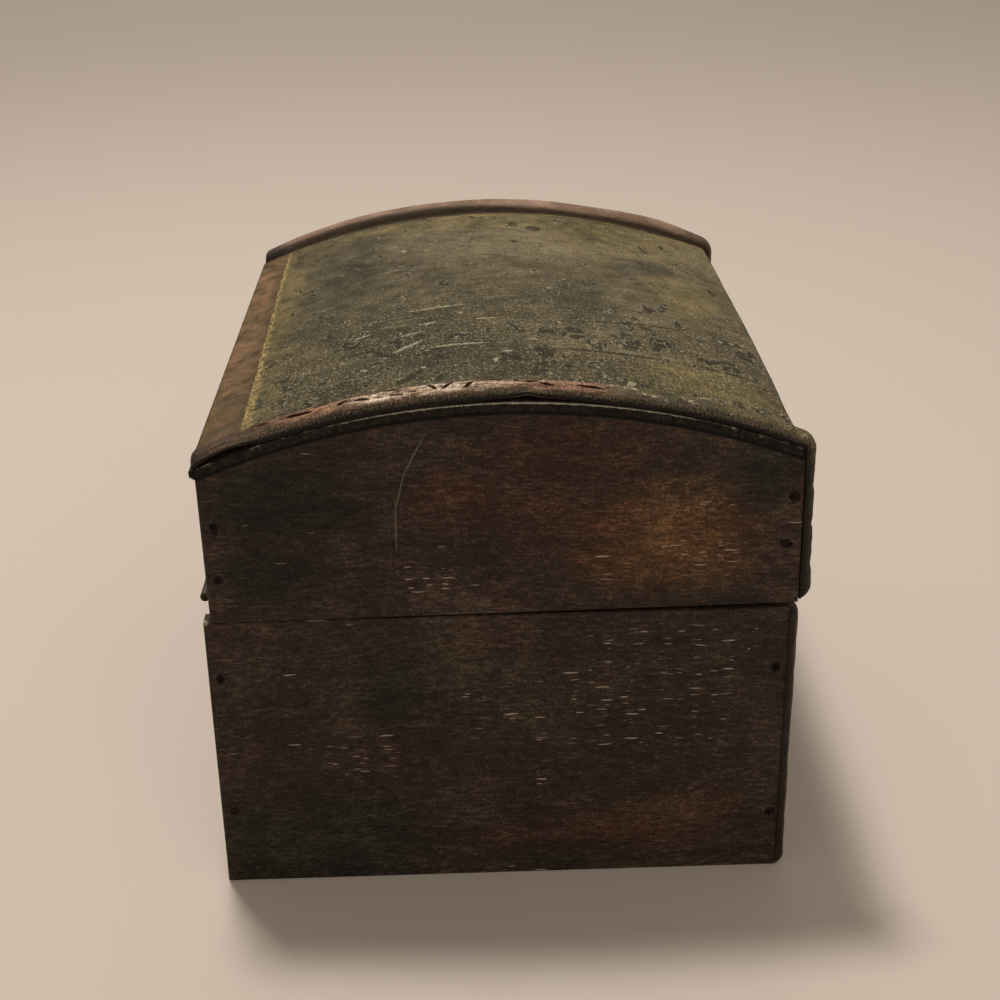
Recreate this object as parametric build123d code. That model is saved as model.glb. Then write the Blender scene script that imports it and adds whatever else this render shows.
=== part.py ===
from build123d import *
import math
import os

# A small wooden keepsake chest with a domed lid, in millimetres.
# The length runs along X, the front faces -Y, and the origin is at the middle of the underside.

os.makedirs("parts", exist_ok=True)

# Boards of the body
CHEST_LENGTH = 163.0
CHEST_DEPTH = 130.0
BODY_HEIGHT = 69.0
END_THICKNESS = 4.6
FRONT_THICKNESS = 5.0
BACK_THICKNESS = 4.0
BACK_INSET = 0.8
BOTTOM_THICKNESS = 4.0
WORN_EDGE = 0.7

# The lid: its ends' straight sides, the rise of their arch, and the bent board on them
LID_SIDE_HEIGHT = 34.3
LID_RISE = 12.9
LID_FORWARD = 1.65
LID_AJAR = 0.55
SEAM_GAP = 0.1
BENT_BOARD = 2.2
BOARD_OVERHANG = 1.1
SHOULDER_RADIUS = 2.1
BOARD_TIP = 1.2

# Leather: the skins, and the thick edging strips at both ends of each skin
LID_SKIN = 1.2
LEFT_LID_EDGING = 3.4
LEFT_LID_EDGING_WIDTH = 7.0
RIGHT_LID_EDGING = 4.2
RIGHT_LID_EDGING_WIDTH = 8.5
LID_EDGING_AT_FRONT = 3.2
EDGING_OVERHANG = 0.4
BODY_SKIN = 1.2
BODY_EDGING = 2.4
BODY_EDGING_WIDTH = 7.0
SKIN_BACK_SETBACK = 0.8
SKIN_HEM_RISE = 0.9
FOOT_CLEARANCE = 0.6

# Roundings of the leather, as shares of its thickness, and the share that marks its crest
HEM_ROUND = 0.75
TOP_ROUND = 0.375
EDGING_OUTER_ROUND = 0.65
EDGING_INNER_ROUND = 0.48
CREST_SHARE = 0.55

# Nails that hold the boards, and their heights on each board
NAIL_SHANK = 0.9
NAIL_HEAD = 1.3
NAIL_HEAD_DEPTH = 0.5
NAIL_LENGTH = 14.0
NAIL_SET = 0.1
NAIL_FIT = 0.03
BODY_FRONT_NAILS = (14.8, 54.0)
BODY_BACK_NAILS = (19.6, 54.8)
LID_FRONT_NAILS = (14.3, 25.5)
LID_BACK_NAILS = (10.4, 23.3)
BOTTOM_NAIL_COUNT = 4
BOTTOM_NAIL_MARGIN = 16.0

# Butt hinges rolled from sheet, let into the seam at the back
HINGE_LENGTH = 22.0
HINGE_FROM_END = 12.8
HINGE_STANDOFF = 1.2
HINGE_SHEET = 0.6
BARREL_RADIUS = 1.1
PIN_RADIUS = 0.55
PIN_FIT = 0.05
PIN_RECESS = 0.5
KNUCKLES = 5
KNUCKLE_GAP = 0.15
CURL_SLIT = 0.22
LEAF_MARGIN = 0.8
LEAF_FIT = 0.1
TACK_SHANK = 0.8
TACK_HEAD = 1.5
TACK_HEAD_DEPTH = 0.3
TACK_LENGTH = 6.0
TACK_FROM_END = 3.5

# Swing hook on the lid and the headed stud that it catches on the body
HOOK_SHEET = 0.9
HOOK_STANDOFF = 0.6
HOOK_REACH = 13.0
HOOK_EYE = 3.0
HOOK_SHANK_WIDTH = 3.4
HOOK_LOBE = 4.2
HOOK_TAIL_REACH = 19.0
HOOK_TAIL_KNOB = 2.35
HOOK_SWING = 35.0
HOOK_HEIGHT = 6.0
PIVOT_NECK = 0.9
STUD_NECK = 1.0
HEAD_RADIUS = 1.9
HEAD_HEIGHT = 1.0
NECK_FIT = 0.08
CATCH_FIT = 0.35
HEAD_GAP = 0.3
SPIGOT_LENGTH = 4.0

# Places that follow from the sizes above
HALF_LENGTH = CHEST_LENGTH / 2
INNER_HALF_LENGTH = HALF_LENGTH - END_THICKNESS
BODY_FRONT_Y = -CHEST_DEPTH / 2
BODY_END_BACK_Y = CHEST_DEPTH / 2
BODY_BACK_Y = BODY_END_BACK_Y - BACK_INSET
LID_LOW_Z = BODY_HEIGHT + SEAM_GAP
LID_FRONT_Y = BODY_FRONT_Y - LID_FORWARD
LID_END_BACK_Y = BODY_END_BACK_Y - LID_FORWARD
LID_BACK_Y = LID_END_BACK_Y - BACK_INSET
ARC_RADIUS = ((CHEST_DEPTH / 2) ** 2 + LID_RISE**2) / (2 * LID_RISE)
ARC_CENTRE_Y = (LID_FRONT_Y + LID_END_BACK_Y) / 2
ARC_CENTRE_Z = LID_LOW_Z + LID_SIDE_HEIGHT + LID_RISE - ARC_RADIUS
AXIS_Y = BODY_END_BACK_Y + HINGE_STANDOFF
AXIS_Z = BODY_HEIGHT + SEAM_GAP / 2
LID_AXIS = Axis((0, AXIS_Y, AXIS_Z), (-1, 0, 0))
EDGING_END_X = HALF_LENGTH + EDGING_OVERHANG
LID_SKIN_X = (LEFT_LID_EDGING_WIDTH - EDGING_END_X, EDGING_END_X - RIGHT_LID_EDGING_WIDTH)
BODY_SKIN_X = (BODY_EDGING_WIDTH - EDGING_END_X, EDGING_END_X - BODY_EDGING_WIDTH)
LID_SKIN_LOW_Z = LID_LOW_Z + SKIN_HEM_RISE
LID_SKIN_BACK_Y = LID_END_BACK_Y + BOARD_OVERHANG - SKIN_BACK_SETBACK


def block(x_range, y_range, z_range):
    """A box between two values on each axis."""
    centre = [(a + b) / 2 for a, b in (x_range, y_range, z_range)]
    size = [abs(b - a) for a, b in (x_range, y_range, z_range)]
    return Pos(*centre) * Box(*size)


def along_length(outline, x_start, x_end):
    """A solid from an outline drawn in Y and Z, between two places on the length."""
    return extrude(Plane.YZ.offset(x_start) * outline, amount=x_end - x_start)


def ajar(solid):
    """A piece of the lid, turned with the lid as it stands a little open at the front."""
    return solid.rotate(LID_AXIS, LID_AJAR)


def save(name, *solids):
    """Write one node, with all its solids."""
    shape = solids[0] if len(solids) == 1 else Compound(children=list(solids))
    export_step(shape, f"parts/{name}.step")


# Nails, tacks and the holes they sit in


def spike(head_radius, head_depth, shank_radius, length):
    """A nail along -Z: its head's top is at the origin and it ends in a short point."""
    point = shank_radius * 2
    profile = Polyline(
        (0, 0),
        (head_radius, 0),
        (head_radius, -head_depth),
        (shank_radius, -head_depth),
        (shank_radius, point - length),
        (0, -length),
        close=True,
    )
    return revolve(Plane.XZ * make_face(profile), Axis.Z)


def board_nail():
    return spike(NAIL_HEAD / 2, NAIL_HEAD_DEPTH, NAIL_SHANK / 2, NAIL_LENGTH)


def board_nail_hole():
    """What a set nail takes out of the boards, from the face inward along -Z."""
    return spike(
        NAIL_HEAD / 2 + NAIL_FIT,
        NAIL_HEAD_DEPTH + NAIL_SET,
        NAIL_SHANK / 2 + NAIL_FIT,
        NAIL_LENGTH + NAIL_SET + NAIL_FIT,
    )


def end_nail_places(side, front_y, back_y, front_heights, back_heights, low_z):
    """Frames on an end board's face, with Z pointing out of it, one for each nail."""
    rows = (
        (front_y + FRONT_THICKNESS / 2, front_heights),
        (back_y - BACK_THICKNESS / 2, back_heights),
    )
    face_x = side * HALF_LENGTH
    return [
        Plane(origin=(face_x, y, low_z + height), z_dir=(side, 0, 0))
        for y, heights in rows
        for height in heights
    ]


def body_nail_places(side):
    return end_nail_places(
        side, BODY_FRONT_Y, BODY_BACK_Y, BODY_FRONT_NAILS, BODY_BACK_NAILS, 0
    )


def lid_nail_places(side):
    return end_nail_places(
        side, LID_FRONT_Y, LID_BACK_Y, LID_FRONT_NAILS, LID_BACK_NAILS, LID_LOW_Z
    )


def bottom_nail_places():
    """Frames on the underside, below the front board and the back board."""
    span = CHEST_LENGTH - 2 * BOTTOM_NAIL_MARGIN
    step = span / (BOTTOM_NAIL_COUNT - 1)
    rows = (BODY_FRONT_Y + FRONT_THICKNESS / 2, BODY_BACK_Y - BACK_THICKNESS / 2)
    return [
        Plane(origin=(-span / 2 + i * step, y, 0), z_dir=(0, 0, -1))
        for y in rows
        for i in range(BOTTOM_NAIL_COUNT)
    ]


def drive(places, sink=NAIL_SET):
    """A board nail at each place, set just below the face."""
    return [place * Pos(0, 0, -sink) * board_nail() for place in places]


def cut_nail_holes(board, places):
    for place in places:
        board = board - place * board_nail_hole()
    return board


# The lid's outline, drawn in Y and Z, and what follows it


def arc_z(y, radius):
    return ARC_CENTRE_Z + math.sqrt(radius**2 - (y - ARC_CENTRE_Y) ** 2)


def corner(outline, y, z):
    """The outline's vertex nearest to a point."""
    return outline.vertices().sort_by_distance((y, z, 0))[0]


def dome_outline(growth, front_growth, back_y, low_z, shoulder=0.0, hem=0.0):
    """The lid's end outline, grown over its arch and its front, with rounded corners."""
    radius = ARC_RADIUS + growth
    front_y = LID_FRONT_Y - front_growth
    back_top = (back_y, arc_z(back_y, radius))
    front_top = (front_y, arc_z(front_y, radius))
    crown = (ARC_CENTRE_Y, ARC_CENTRE_Z + radius)
    sides = Polyline(front_top, (front_y, low_z), (back_y, low_z), back_top)
    outline = make_face(ThreePointArc(back_top, crown, front_top) + sides)
    if shoulder:
        outline = fillet(corner(outline, *front_top), shoulder)
    if hem:
        outline = fillet(corner(outline, front_y, low_z), hem)
    return outline


def lid_leather_band(thickness, front_thickness):
    """A band of leather over the bent board and down the lid's front."""
    over = (LID_SKIN_BACK_Y, LID_SKIN_LOW_Z)
    outer = dome_outline(
        BENT_BOARD + thickness,
        front_thickness,
        *over,
        shoulder=SHOULDER_RADIUS + front_thickness,
        hem=front_thickness * HEM_ROUND,
    )
    return outer - dome_outline(BENT_BOARD, 0, *over, shoulder=SHOULDER_RADIUS)


def front_leather_band(thickness):
    """A band of leather on the body's front, rounded at its top and at its foot."""
    face_y = BODY_FRONT_Y - thickness
    outline = make_face(
        Polyline(
            (BODY_FRONT_Y, FOOT_CLEARANCE),
            (BODY_FRONT_Y, BODY_HEIGHT),
            (face_y, BODY_HEIGHT),
            (face_y, FOOT_CLEARANCE),
            close=True,
        )
    )
    outline = fillet(corner(outline, face_y, BODY_HEIGHT), thickness * TOP_ROUND)
    return fillet(corner(outline, face_y, FOOT_CLEARANCE), thickness * HEM_ROUND)


def rounded_edging(band, side, width, thickness, stand_off):
    """An edging strip at one end, with its two long outer edges rounded over."""
    outer_x = side * EDGING_END_X
    inner_x = outer_x - side * width
    strip = along_length(band, min(outer_x, inner_x), max(outer_x, inner_x))

    def crest_edges(x):
        return [
            edge
            for edge in strip.edges()
            if abs(edge.bounding_box().min.X - x) < 0.01
            and abs(edge.bounding_box().max.X - x) < 0.01
            and stand_off(edge @ 0.5) > CREST_SHARE * thickness
        ]

    strip = fillet(crest_edges(outer_x), thickness * EDGING_OUTER_ROUND)
    return fillet(crest_edges(inner_x), thickness * EDGING_INNER_ROUND)


def lid_stand_off(point):
    """How far a point lies outside the lid's boards."""
    radial = math.hypot(point.Y - ARC_CENTRE_Y, point.Z - ARC_CENTRE_Z)
    return max(radial - ARC_RADIUS - BENT_BOARD, LID_FRONT_Y - point.Y)


def body_stand_off(point):
    return BODY_FRONT_Y - point.Y


# Hinges


def hinge_start(side):
    """Where a hinge's lower end lies on the length."""
    near = HALF_LENGTH - HINGE_FROM_END
    return -near if side < 0 else near - HINGE_LENGTH


def knuckle_span(index, start):
    pitch = (HINGE_LENGTH + KNUCKLE_GAP) / KNUCKLES
    return start + index * pitch, start + index * pitch + pitch - KNUCKLE_GAP


def knuckle(span):
    """One rolled knuckle, with room in it for the pin."""
    ring = Pos(AXIS_Y, AXIS_Z) * (Circle(BARREL_RADIUS) - Circle(PIN_RADIUS + PIN_FIT))
    return along_length(ring, *span)


def tack_places(start, y, z, up):
    """Frames on a leaf's face for its two tacks."""
    xs = (start + TACK_FROM_END, start + HINGE_LENGTH - TACK_FROM_END)
    return [Plane(origin=(x, y, z), z_dir=(0, 0, up)) for x in xs]


def leaf_sizes(up):
    """Each leaf's seam face, the side its sheet lies on, and its board's faces."""
    if up < 0:
        return BODY_HEIGHT, BODY_BACK_Y
    return LID_LOW_Z, LID_BACK_Y


def hinge_leaf(side, up):
    """A leaf let into a board's edge, rolled into its share of the knuckles."""
    start = hinge_start(side)
    face_z, board_y = leaf_sizes(up)
    inner_y = board_y - BACK_THICKNESS + LEAF_MARGIN
    z_range = (face_z, face_z + up * HINGE_SHEET)
    clear_y = AXIS_Y - BARREL_RADIUS - LEAF_FIT
    leaf = block((start, start + HINGE_LENGTH), (inner_y, clear_y), z_range)
    first = 0 if up < 0 else 1
    for index in range(first, KNUCKLES, 2):
        span = knuckle_span(index, start)
        leaf = leaf + block(span, (clear_y, AXIS_Y - PIN_RADIUS - PIN_FIT), z_range)
        leaf = leaf + knuckle(span)
        slit_z = (face_z, face_z - up * CURL_SLIT)
        leaf = leaf - block(span, (AXIS_Y - BARREL_RADIUS * 2, AXIS_Y), slit_z)
    for place in leaf_tack_places(side, up):
        leaf = leaf - place * tack_hole()
    return leaf


def leaf_tack_places(side, up):
    face_z, board_y = leaf_sizes(up)
    middle_y = board_y - (BACK_THICKNESS - LEAF_MARGIN) / 2
    return tack_places(hinge_start(side), middle_y, face_z, -up)


def tack():
    return spike(TACK_HEAD / 2, TACK_HEAD_DEPTH, TACK_SHANK / 2, TACK_LENGTH)


def tack_hole():
    return spike(
        TACK_HEAD / 2 + NAIL_FIT,
        TACK_HEAD_DEPTH + NAIL_FIT,
        TACK_SHANK / 2 + NAIL_FIT,
        TACK_LENGTH + 2 * NAIL_FIT,
    )


def cut_hinge_seats(board, up):
    """Let both hinges and their tacks into a back board's edge."""
    face_z, board_y = leaf_sizes(up)
    inner_y = board_y - BACK_THICKNESS + LEAF_MARGIN - LEAF_FIT
    for side in (-1, 1):
        start = hinge_start(side)
        x_range = (start - LEAF_FIT, start + HINGE_LENGTH + LEAF_FIT)
        z_range = (face_z - up * HINGE_SHEET, face_z + up * HINGE_SHEET)
        seat = block(x_range, (inner_y, board_y + HINGE_SHEET), z_range)
        board = board - seat
        for place in leaf_tack_places(side, up):
            board = board - place * tack_hole()
    return board


def hinge_pin(side):
    """A pin that ends a little inside the outermost knuckles."""
    start = hinge_start(side)
    outline = Pos(AXIS_Y, AXIS_Z) * Circle(PIN_RADIUS)
    return along_length(outline, start + PIN_RECESS, start + HINGE_LENGTH - PIN_RECESS)


# Swing hook, its pivot and its stud

PIVOT_Z = LID_LOW_Z + HOOK_HEIGHT
HOOK_BACK_Y = LID_FRONT_Y - LID_SKIN - HOOK_STANDOFF
HOOK_FACE_Y = HOOK_BACK_Y - HOOK_SHEET
PIVOT_X = -HOOK_REACH * math.sin(math.radians(HOOK_SWING)) / 2
STUD_X = -PIVOT_X
PIVOT_RISE = (AXIS_Y - HOOK_BACK_Y) * math.sin(math.radians(LID_AJAR))
STUD_Z = PIVOT_Z + PIVOT_RISE - HOOK_REACH * math.cos(math.radians(HOOK_SWING))


def hook_outline():
    """The hook as it hangs, drawn in X and Z from its pivot, with its notch open to +X."""
    shank = Pos(0, -HOOK_TAIL_REACH / 2) * Rectangle(HOOK_SHANK_WIDTH, HOOK_TAIL_REACH)
    outline = Circle(HOOK_EYE) + shank
    outline = outline + Pos(0, -HOOK_REACH) * Circle(HOOK_LOBE)
    outline = outline + Pos(0, -HOOK_TAIL_REACH) * Circle(HOOK_TAIL_KNOB)
    mouth = STUD_NECK + CATCH_FIT
    swing_path = Circle(HOOK_REACH + mouth) - Circle(HOOK_REACH - mouth)
    entry = Pos(HOOK_LOBE, -HOOK_REACH) * Rectangle(2 * HOOK_LOBE, 2 * HOOK_LOBE)
    notch = (swing_path & entry) + Pos(0, -HOOK_REACH) * Circle(mouth)
    return outline - notch - Circle(PIVOT_NECK + NECK_FIT)


def clasp_hook():
    """The hook hangs plumb from its pivot, clear of the stud beside it."""
    plane = Plane(origin=(PIVOT_X, HOOK_BACK_Y, PIVOT_Z), x_dir=(1, 0, 0), z_dir=(0, -1, 0))
    return extrude(plane * hook_outline(), amount=HOOK_SHEET)


def headed_pin(x, z, inner_y, head_y, neck_radius):
    """A pin from inside a board out along -Y to the underside of its low domed head."""
    length = inner_y - head_y
    dome_radius = (HEAD_RADIUS**2 + HEAD_HEIGHT**2) / (2 * HEAD_HEIGHT)
    neck = extrude(Circle(neck_radius), amount=length)
    dome = Pos(0, 0, length + HEAD_HEIGHT - dome_radius) * Sphere(dome_radius)
    above = extrude(Pos(0, 0, length) * Circle(dome_radius), amount=HEAD_HEIGHT)
    return Plane(origin=(x, inner_y, z), z_dir=(0, -1, 0)) * (neck + (dome & above))


def clasp_pivot():
    """The pivot pin, with a small collar that holds the hook off the leather."""
    inner_y = LID_FRONT_Y + SPIGOT_LENGTH
    pin = headed_pin(PIVOT_X, PIVOT_Z, inner_y, HOOK_FACE_Y - HEAD_GAP, PIVOT_NECK)
    skin_y = LID_FRONT_Y - LID_SKIN
    plane = Plane(origin=(PIVOT_X, skin_y, PIVOT_Z), z_dir=(0, -1, 0))
    return pin + extrude(plane * Circle(HEAD_RADIUS), amount=HOOK_STANDOFF - HEAD_GAP)


def clasp_stud():
    """The stud that the hook's notch takes, level with the hook's hanging plane."""
    inner_y = BODY_FRONT_Y + SPIGOT_LENGTH
    return headed_pin(STUD_X, STUD_Z, inner_y, HOOK_FACE_Y - 2 * HEAD_GAP, STUD_NECK)


def pin_hole(x, z, neck_radius, inner_y):
    """A hole along Y from inside a front board out through its leather."""
    depth = SPIGOT_LENGTH + 2 * NAIL_FIT + 2 * LID_SKIN
    plane = Plane(origin=(x, inner_y + NAIL_FIT, z), z_dir=(0, -1, 0))
    return extrude(plane * Circle(neck_radius + NAIL_FIT), amount=depth)


def cut_pivot_hole(solid):
    return solid - pin_hole(PIVOT_X, PIVOT_Z, PIVOT_NECK, LID_FRONT_Y + SPIGOT_LENGTH)


def cut_stud_hole(solid):
    return solid - pin_hole(STUD_X, STUD_Z, STUD_NECK, BODY_FRONT_Y + SPIGOT_LENGTH)


# The body's boards


def body_end(side):
    """A full-depth end board, worn round at its top and back outer edges."""
    x_range = sorted((side * HALF_LENGTH, side * INNER_HALF_LENGTH))
    board = block(x_range, (BODY_FRONT_Y, BODY_END_BACK_Y), (0, BODY_HEIGHT))
    outer = board.faces().sort_by(Axis.X)[-1 if side > 0 else 0]
    worn = [outer.edges().sort_by(Axis.Z)[-1], outer.edges().sort_by(Axis.Y)[-1]]
    board = fillet(worn, WORN_EDGE)
    return cut_nail_holes(board, body_nail_places(side))


def inner_board(outline):
    return along_length(outline, -INNER_HALF_LENGTH, INNER_HALF_LENGTH)


def body_front_board():
    board = block(
        (-INNER_HALF_LENGTH, INNER_HALF_LENGTH),
        (BODY_FRONT_Y, BODY_FRONT_Y + FRONT_THICKNESS),
        (BOTTOM_THICKNESS, BODY_HEIGHT),
    )
    places = body_nail_places(-1) + body_nail_places(1) + bottom_nail_places()
    return cut_stud_hole(cut_nail_holes(board, places))


def body_back_board():
    board = block(
        (-INNER_HALF_LENGTH, INNER_HALF_LENGTH),
        (BODY_BACK_Y - BACK_THICKNESS, BODY_BACK_Y),
        (BOTTOM_THICKNESS, BODY_HEIGHT),
    )
    places = body_nail_places(-1) + body_nail_places(1) + bottom_nail_places()
    return cut_hinge_seats(cut_nail_holes(board, places), -1)


def body_bottom_board():
    board = block(
        (-INNER_HALF_LENGTH, INNER_HALF_LENGTH),
        (BODY_FRONT_Y, BODY_BACK_Y),
        (0, BOTTOM_THICKNESS),
    )
    return cut_nail_holes(board, bottom_nail_places())


# The lid's boards


def lid_end(side):
    """An arched end board, worn round at its back outer edge."""
    outline = dome_outline(0, 0, LID_END_BACK_Y, LID_LOW_Z)
    x_range = sorted((side * HALF_LENGTH, side * INNER_HALF_LENGTH))
    board = along_length(outline, *x_range)
    outer = board.faces().sort_by(Axis.X)[-1 if side > 0 else 0]
    worn = outer.edges().sort_by(Axis.Y)[-1]
    return cut_nail_holes(fillet(worn, WORN_EDGE), lid_nail_places(side))


def lid_side_board(outer_y, inner_y):
    """A long board whose top edge follows the arch."""
    outline = dome_outline(0, 0, LID_END_BACK_Y, LID_LOW_Z)
    height = LID_SIDE_HEIGHT + LID_RISE
    middle = Pos((outer_y + inner_y) / 2, LID_LOW_Z + height / 2)
    strip = middle * Rectangle(abs(outer_y - inner_y), height)
    board = inner_board(outline & strip)
    return cut_nail_holes(board, lid_nail_places(-1) + lid_nail_places(1))


def lid_top_board():
    """The thin board bent over the arches, a little long at the back and bevelled there."""
    back_y = LID_END_BACK_Y + BOARD_OVERHANG
    outer = dome_outline(BENT_BOARD, 0, back_y, LID_LOW_Z, shoulder=SHOULDER_RADIUS)
    band = outer - dome_outline(0, 0, back_y, LID_LOW_Z)
    under_tip = corner(band, back_y, arc_z(back_y, ARC_RADIUS))
    return along_length(chamfer(under_tip, BOARD_TIP), -HALF_LENGTH, HALF_LENGTH)


# Write the body
save("body_end_left", body_end(-1))
save("body_end_right", body_end(1))
save("body_front_board", body_front_board())
save("body_back_board", body_back_board())
save("body_bottom_board", body_bottom_board())
body_skin = along_length(front_leather_band(BODY_SKIN), *BODY_SKIN_X)
save("body_front_skin", cut_stud_hole(body_skin))
body_edging = front_leather_band(BODY_EDGING)
for end, side in (("left", -1), ("right", 1)):
    sizes = (BODY_EDGING_WIDTH, BODY_EDGING)
    save(f"body_edging_{end}", rounded_edging(body_edging, side, *sizes, body_stand_off))
save("body_nails", *drive(body_nail_places(-1)), *drive(body_nail_places(1)))
save("bottom_nails", *drive(bottom_nail_places()))
save("hinge_body_leaf_left", hinge_leaf(-1, -1))
save("hinge_body_leaf_right", hinge_leaf(1, -1))
save("hinge_pin_left", hinge_pin(-1))
save("hinge_pin_right", hinge_pin(1))
body_tack_places = leaf_tack_places(-1, -1) + leaf_tack_places(1, -1)
save("hinge_body_tacks", *[place * tack() for place in body_tack_places])
save("clasp_stud", clasp_stud())

# Write the lid, turned as it stands a little open
save("lid_end_left", ajar(lid_end(-1)))
save("lid_end_right", ajar(lid_end(1)))
front_board = lid_side_board(LID_FRONT_Y, LID_FRONT_Y + FRONT_THICKNESS)
save("lid_front_board", ajar(cut_pivot_hole(front_board)))
back_board = lid_side_board(LID_BACK_Y, LID_BACK_Y - BACK_THICKNESS)
save("lid_back_board", ajar(cut_hinge_seats(back_board, 1)))
save("lid_top_board", ajar(lid_top_board()))
lid_skin = along_length(lid_leather_band(LID_SKIN, LID_SKIN), *LID_SKIN_X)
save("lid_skin", ajar(cut_pivot_hole(lid_skin)))
left_band = lid_leather_band(LEFT_LID_EDGING, LID_EDGING_AT_FRONT)
left_edging = rounded_edging(
    left_band, -1, LEFT_LID_EDGING_WIDTH, LID_EDGING_AT_FRONT, lid_stand_off
)
save("lid_edging_left", ajar(left_edging))
right_band = lid_leather_band(RIGHT_LID_EDGING, LID_EDGING_AT_FRONT)
right_edging = rounded_edging(
    right_band, 1, RIGHT_LID_EDGING_WIDTH, LID_EDGING_AT_FRONT, lid_stand_off
)
save("lid_edging_right", ajar(right_edging))
lid_nails = drive(lid_nail_places(-1)) + drive(lid_nail_places(1))
save("lid_nails", *[ajar(nail) for nail in lid_nails])
save("hinge_lid_leaf_left", ajar(hinge_leaf(-1, 1)))
save("hinge_lid_leaf_right", ajar(hinge_leaf(1, 1)))
lid_tack_places = leaf_tack_places(-1, 1) + leaf_tack_places(1, 1)
save("hinge_lid_tacks", *[ajar(place * tack()) for place in lid_tack_places])
save("clasp_pivot", ajar(clasp_pivot()))

# Write the clasp's hook
save("clasp_hook", ajar(clasp_hook()))
print(f"pivot x {PIVOT_X:.3f}, z {PIVOT_Z:.3f}; stud x {STUD_X:.3f}, z {STUD_Z:.3f}")
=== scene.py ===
# %% [markdown]
# # A small domed keepsake chest
# The chest is wood, dark with stain and age. Thin tooled leather covers its arched lid and its
# front, and thick leather strips edge that leather at both ends. The boards, nails, hinges and
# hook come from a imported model, which stands still while this script dresses it.
# Here the leather is modelled over it, and every surface gets a finish made of nodes.

import itertools
import math

import bmesh
import bpy
from mathutils import Matrix, Vector, noise


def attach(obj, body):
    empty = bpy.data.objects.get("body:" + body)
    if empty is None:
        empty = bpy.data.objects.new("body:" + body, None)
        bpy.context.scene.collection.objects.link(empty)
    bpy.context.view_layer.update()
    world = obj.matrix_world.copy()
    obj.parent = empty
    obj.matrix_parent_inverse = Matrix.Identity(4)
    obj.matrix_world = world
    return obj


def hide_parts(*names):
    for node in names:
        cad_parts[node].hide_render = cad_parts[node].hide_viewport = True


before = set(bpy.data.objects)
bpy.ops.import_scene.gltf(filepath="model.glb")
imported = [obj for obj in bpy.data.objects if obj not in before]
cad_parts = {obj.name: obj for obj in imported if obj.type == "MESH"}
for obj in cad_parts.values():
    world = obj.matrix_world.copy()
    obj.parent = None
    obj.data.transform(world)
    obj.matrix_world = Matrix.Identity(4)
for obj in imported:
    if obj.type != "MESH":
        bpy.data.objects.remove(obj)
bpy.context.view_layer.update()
MM = 0.001

# %% [markdown]
# ## The camera
# The photograph was taken from the chest's left end, a little above it, with a longish lens.
# A camera is placed by three directions: its right, its up and its back, which are the columns
# of its matrix. Yaw, pitch and roll are easier to read, so the columns are worked out from them.

# %% Place the camera
YAW = math.radians(-1.22)
PITCH = math.radians(24.042)
ROLL = math.radians(-1.024)
SENSOR_WIDTH = 36
FOCAL_LENGTH = 59.14
CAMERA_PLACE = Vector((-402.9, 5.8, 240.4)) * MM


def new_object(name, data):
    piece = bpy.data.objects.new(name, data)
    bpy.context.scene.collection.objects.link(piece)
    return piece


camera_data = bpy.data.cameras.new("photograph_camera")
camera_data.sensor_width = SENSOR_WIDTH
camera_data.lens = FOCAL_LENGTH
camera_data.clip_start = 0.01
camera = new_object("photograph_camera", camera_data)
forward = Vector((math.cos(YAW) * math.cos(PITCH), math.sin(YAW) * math.cos(PITCH), -math.sin(PITCH)))
level_right = forward.cross(Vector((0, 0, 1))).normalized()
level_up = level_right.cross(forward)
right = math.cos(ROLL) * level_right + math.sin(ROLL) * level_up
up = -math.sin(ROLL) * level_right + math.cos(ROLL) * level_up
turned = Matrix((right, up, -forward)).transposed().to_4x4()
camera.matrix_world = Matrix.Translation(CAMERA_PLACE) @ turned
bpy.context.scene.camera = camera

# %% [markdown]
# ## Floor and light
# The chest stands on a pale cloth under a lamp that is almost straight above it and a little
# behind. A wide area lamp gives the same short soft shadow, a weak one in front opens up the
# near end, and the world adds the rest. Together they light a level surface to about its own
# colour. The floor is a plain disc, much larger than the view.

# %% Floor, lamps and world
CHEST_MIDDLE = Vector((0, 0, 0.06))
FLOOR_RADIUS = 3.5
FLOOR_DROP = 0.0002
WORLD_STRENGTH = 0.46
bpy.context.scene.view_settings.view_transform = "Standard"


def colour(red, green, blue):
    """A colour written as it is seen on a screen, 0 to 255, turned into the light it stands for."""
    parts = [value / 255 for value in (red, green, blue)]
    return tuple(p / 12.92 if p < 0.04045 else ((p + 0.055) / 1.055) ** 2.4 for p in parts) + (1.0,)


def area_lamp(name, place, size, power):
    """A square lamp that faces the middle of the chest."""
    data = bpy.data.lights.new(name, "AREA")
    data.size = size
    data.energy = power
    lamp = new_object(name, data)
    lamp.location = place
    lamp.rotation_euler = (CHEST_MIDDLE - Vector(place)).to_track_quat("-Z", "Y").to_euler()
    return lamp


area_lamp("overhead_lamp", (0.22, 0.15, 1.18), 0.16, 10.5)
area_lamp("front_fill", (-1.1, -0.25, 0.75), 0.9, 4.0)
area_lamp("far_floor_lamp", (2.2, 0.3, 1.9), 1.6, 16.0).rotation_euler = (0, 0, 0)  # straight down

world = bpy.data.worlds.new("pale_room")
bpy.context.scene.world = world
world.use_nodes = True
background = world.node_tree.nodes["Background"]
background.inputs["Color"].default_value = colour(206, 196, 186)
background.inputs["Strength"].default_value = WORLD_STRENGTH

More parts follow.
